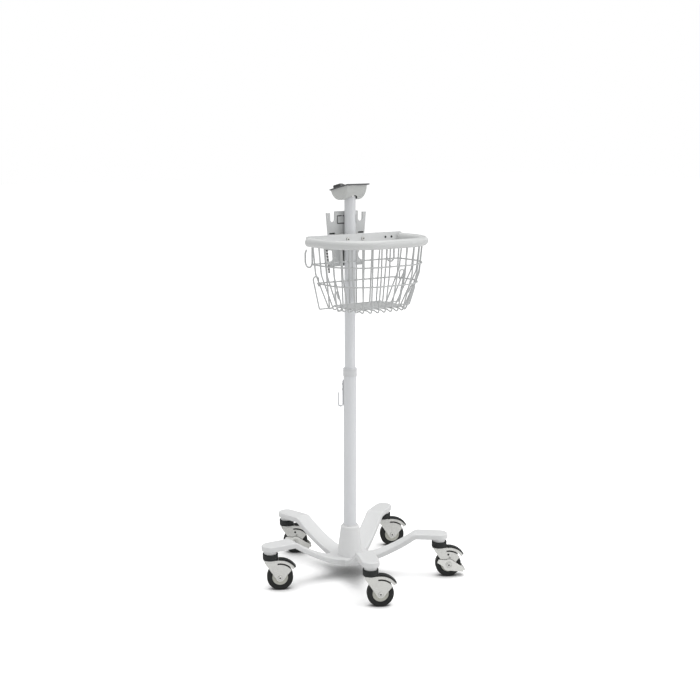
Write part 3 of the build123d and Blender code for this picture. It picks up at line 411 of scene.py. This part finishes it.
def bead(mesh, centre, along, size):
    """A small flattened weld bead."""
    turn = Vector((0, 0, 1)).rotation_difference(along).to_matrix().to_4x4()
    place = Matrix.Translation(centre) @ turn @ Matrix.Diagonal((size, size, size * 1.5, 1))
    bmesh.ops.create_icosphere(mesh, subdivisions=2, radius=1.0, matrix=place)


def piece(name, mesh, material, body, smooth=True):
    """An object made from a bmesh, riding on a body."""
    data = bpy.data.meshes.new(name)
    mesh.to_mesh(data)
    mesh.free()
    data.materials.append(material)
    for polygon in data.polygons:
        polygon.use_smooth = smooth
    made = bpy.data.objects.new(name, data)
    bpy.context.scene.collection.objects.link(made)
    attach(made, body)


BEAD = 1.3 * MM
BEAD_SPREAD = 0.9  # how far the two beads of a weld stand from its middle, in bead radii
beads = bmesh.new()
for wires in ("basket_wall_wires", "basket_back_wires", "cable_loops"):
    for touch, along, across in crossings(wires, "basket_rings"):
        for side in (-1, 1):
            bead(beads, touch + across * side * BEAD * BEAD_SPREAD, along, BEAD)
piece("weld_beads", beads, wire_white, "root")

# The accessory holes of the back plate are closed with pressed-in plugs: a shank and a head,
# each given as radius at the back, radius at the front, length, and how far it stands proud.
PLATE_FRONT = -26.0 * MM
PLUG_PLACES, PLUG_HEIGHT = (107 * MM, 129 * MM), 994 * MM
PLUG_PARTS = ((2.4 * MM, 2.4 * MM, 1.6 * MM, 0.0), (3.4 * MM, 2.8 * MM, 0.8 * MM, 0.8 * MM))
plugs = bmesh.new()
for across in PLUG_PLACES:
    for back, front, length, proud in PLUG_PARTS:
        centre = (across, PLATE_FRONT - proud + length / 2, PLUG_HEIGHT)
        turn = Matrix.Translation(centre) @ Matrix.Rotation(math.radians(90), 4, "X")
        bmesh.ops.create_cone(plugs, cap_ends=True, segments=32, radius1=back, radius2=front,
                              depth=length, matrix=turn)
piece("blanking_plugs", plugs, band_black, "root", smooth=False)

# ---------------------------------------------------------------- floor, light and camera
FLOOR_HALF = 30.0
floor_data = bpy.data.meshes.new("floor")
corners = [(x * FLOOR_HALF, y * FLOOR_HALF, 0) for x, y in ((-1, -1), (1, -1), (1, 1), (-1, 1))]
floor_data.from_pydata(corners, [], [(0, 1, 2, 3)])
floor = bpy.data.objects.new("floor", floor_data)
bpy.context.scene.collection.objects.link(floor)

# To the camera the floor is overexposed paper with a painted contact shadow where it is closely
# sheltered, and away from the pole a glow keeps it white. To everything else it is plain light
# grey.
PAPER_SEEN, PAPER_SHADOW, PAPER_UNSEEN = (1.22,) * 3, (0.1,) * 3, (0.8,) * 3
SHELTER_REACH = 0.2
paper = Shader("paper_white", 0.9, specular=0.0)
seen = paper.add("ShaderNodeLightPath").outputs["Is Camera Ray"]
# Painted shadow: the floor goes dark where other things are close above it.
bare = paper.remap(paper.openness(SHELTER_REACH, 16), 0.0, 1.0, 0.15, 0.65)
paper.colour(paper.mix(seen, PAPER_UNSEEN, paper.mix(bare, PAPER_SHADOW, PAPER_SEEN)))
from_pole = paper.radius_from((0, 0, 0), (0, 0, 1))
glow = paper.math("MULTIPLY", paper.remap(from_pole, 0.0, 0.2, 0.3, 1.6), seen)
paper.bsdf.inputs["Emission Color"].default_value = WHITE_LIGHT
paper.link(glow, paper.bsdf.inputs["Emission Strength"])
floor_data.materials.append(paper.material)

# The sky is white to the camera. Its light grows towards the zenith, but reflections see the
# white screens of a studio instead, with dark gaps between them.
world = bpy.data.worlds.new("studio")
world.use_nodes = True
sky = Graph(world.node_tree)
rays = sky.add("ShaderNodeLightPath").outputs
direction = sky.add("ShaderNodeSeparateXYZ")
sky.link(sky.add("ShaderNodeTexCoord").outputs["Generated"], direction.inputs[0])
daylight = sky.remap(direction.outputs["Z"], 0.5, 0.85, 0.0, 1.0)
screens = sky.add("ShaderNodeTexNoise")
screens.inputs["Scale"].default_value = 2.6
screens.inputs["Detail"].default_value = 1.0
studio = sky.remap(screens.outputs["Fac"], 0.1, 0.95, 0.42, 0.5)
unseen = sky.between(rays["Is Glossy Ray"], daylight, studio)
background = sky.tree.nodes["Background"].inputs
background["Color"].default_value = WHITE_LIGHT
sky.link(sky.between(rays["Is Camera Ray"], unseen, 1.0), background["Strength"])
bpy.context.scene.world = world


def softbox(name, place, target, size, power):
    """A square soft light that faces a point."""
    data = bpy.data.lights.new(name, "AREA")
    data.size, data.energy = size, power
    light = bpy.data.objects.new(name, data)
    light.location = place
    light.rotation_euler = (Vector(target) - Vector(place)).to_track_quat("-Z", "Y").to_euler()
    bpy.context.scene.collection.objects.link(light)


CAMERA_AZIMUTH, CAMERA_PITCH = math.radians(-36.3), math.radians(10.134)
CAMERA_DISTANCE, CAMERA_HEIGHT = 3.3413, 1.2693


def seen_from_camera(right, depth, height):
    """A place given to the right of the pole and behind it, as the camera sees it."""
    cosine, sine = math.cos(CAMERA_AZIMUTH), math.sin(CAMERA_AZIMUTH)
    return (right * cosine - depth * sine, right * sine + depth * cosine, height)


foot, middle = (0, 0, 0), (0, 0, 0.55)
softbox("overhead", seen_from_camera(0.8, 0.4, 7.0), foot, size=6.5, power=250.0)
softbox("right_fill", seen_from_camera(3.0, -0.8, 1.5), middle, size=2.0, power=16.0)

camera = bpy.data.objects.new("camera", bpy.data.cameras.new("camera"))
camera.data.lens, camera.data.sensor_width = 60.6, 36.0
camera.location = seen_from_camera(0, -CAMERA_DISTANCE, CAMERA_HEIGHT)
camera.rotation_euler = (math.radians(90) - CAMERA_PITCH, 0, CAMERA_AZIMUTH)
bpy.context.scene.collection.objects.link(camera)
bpy.context.scene.camera = camera
bpy.context.scene.view_settings.view_transform = "Standard"
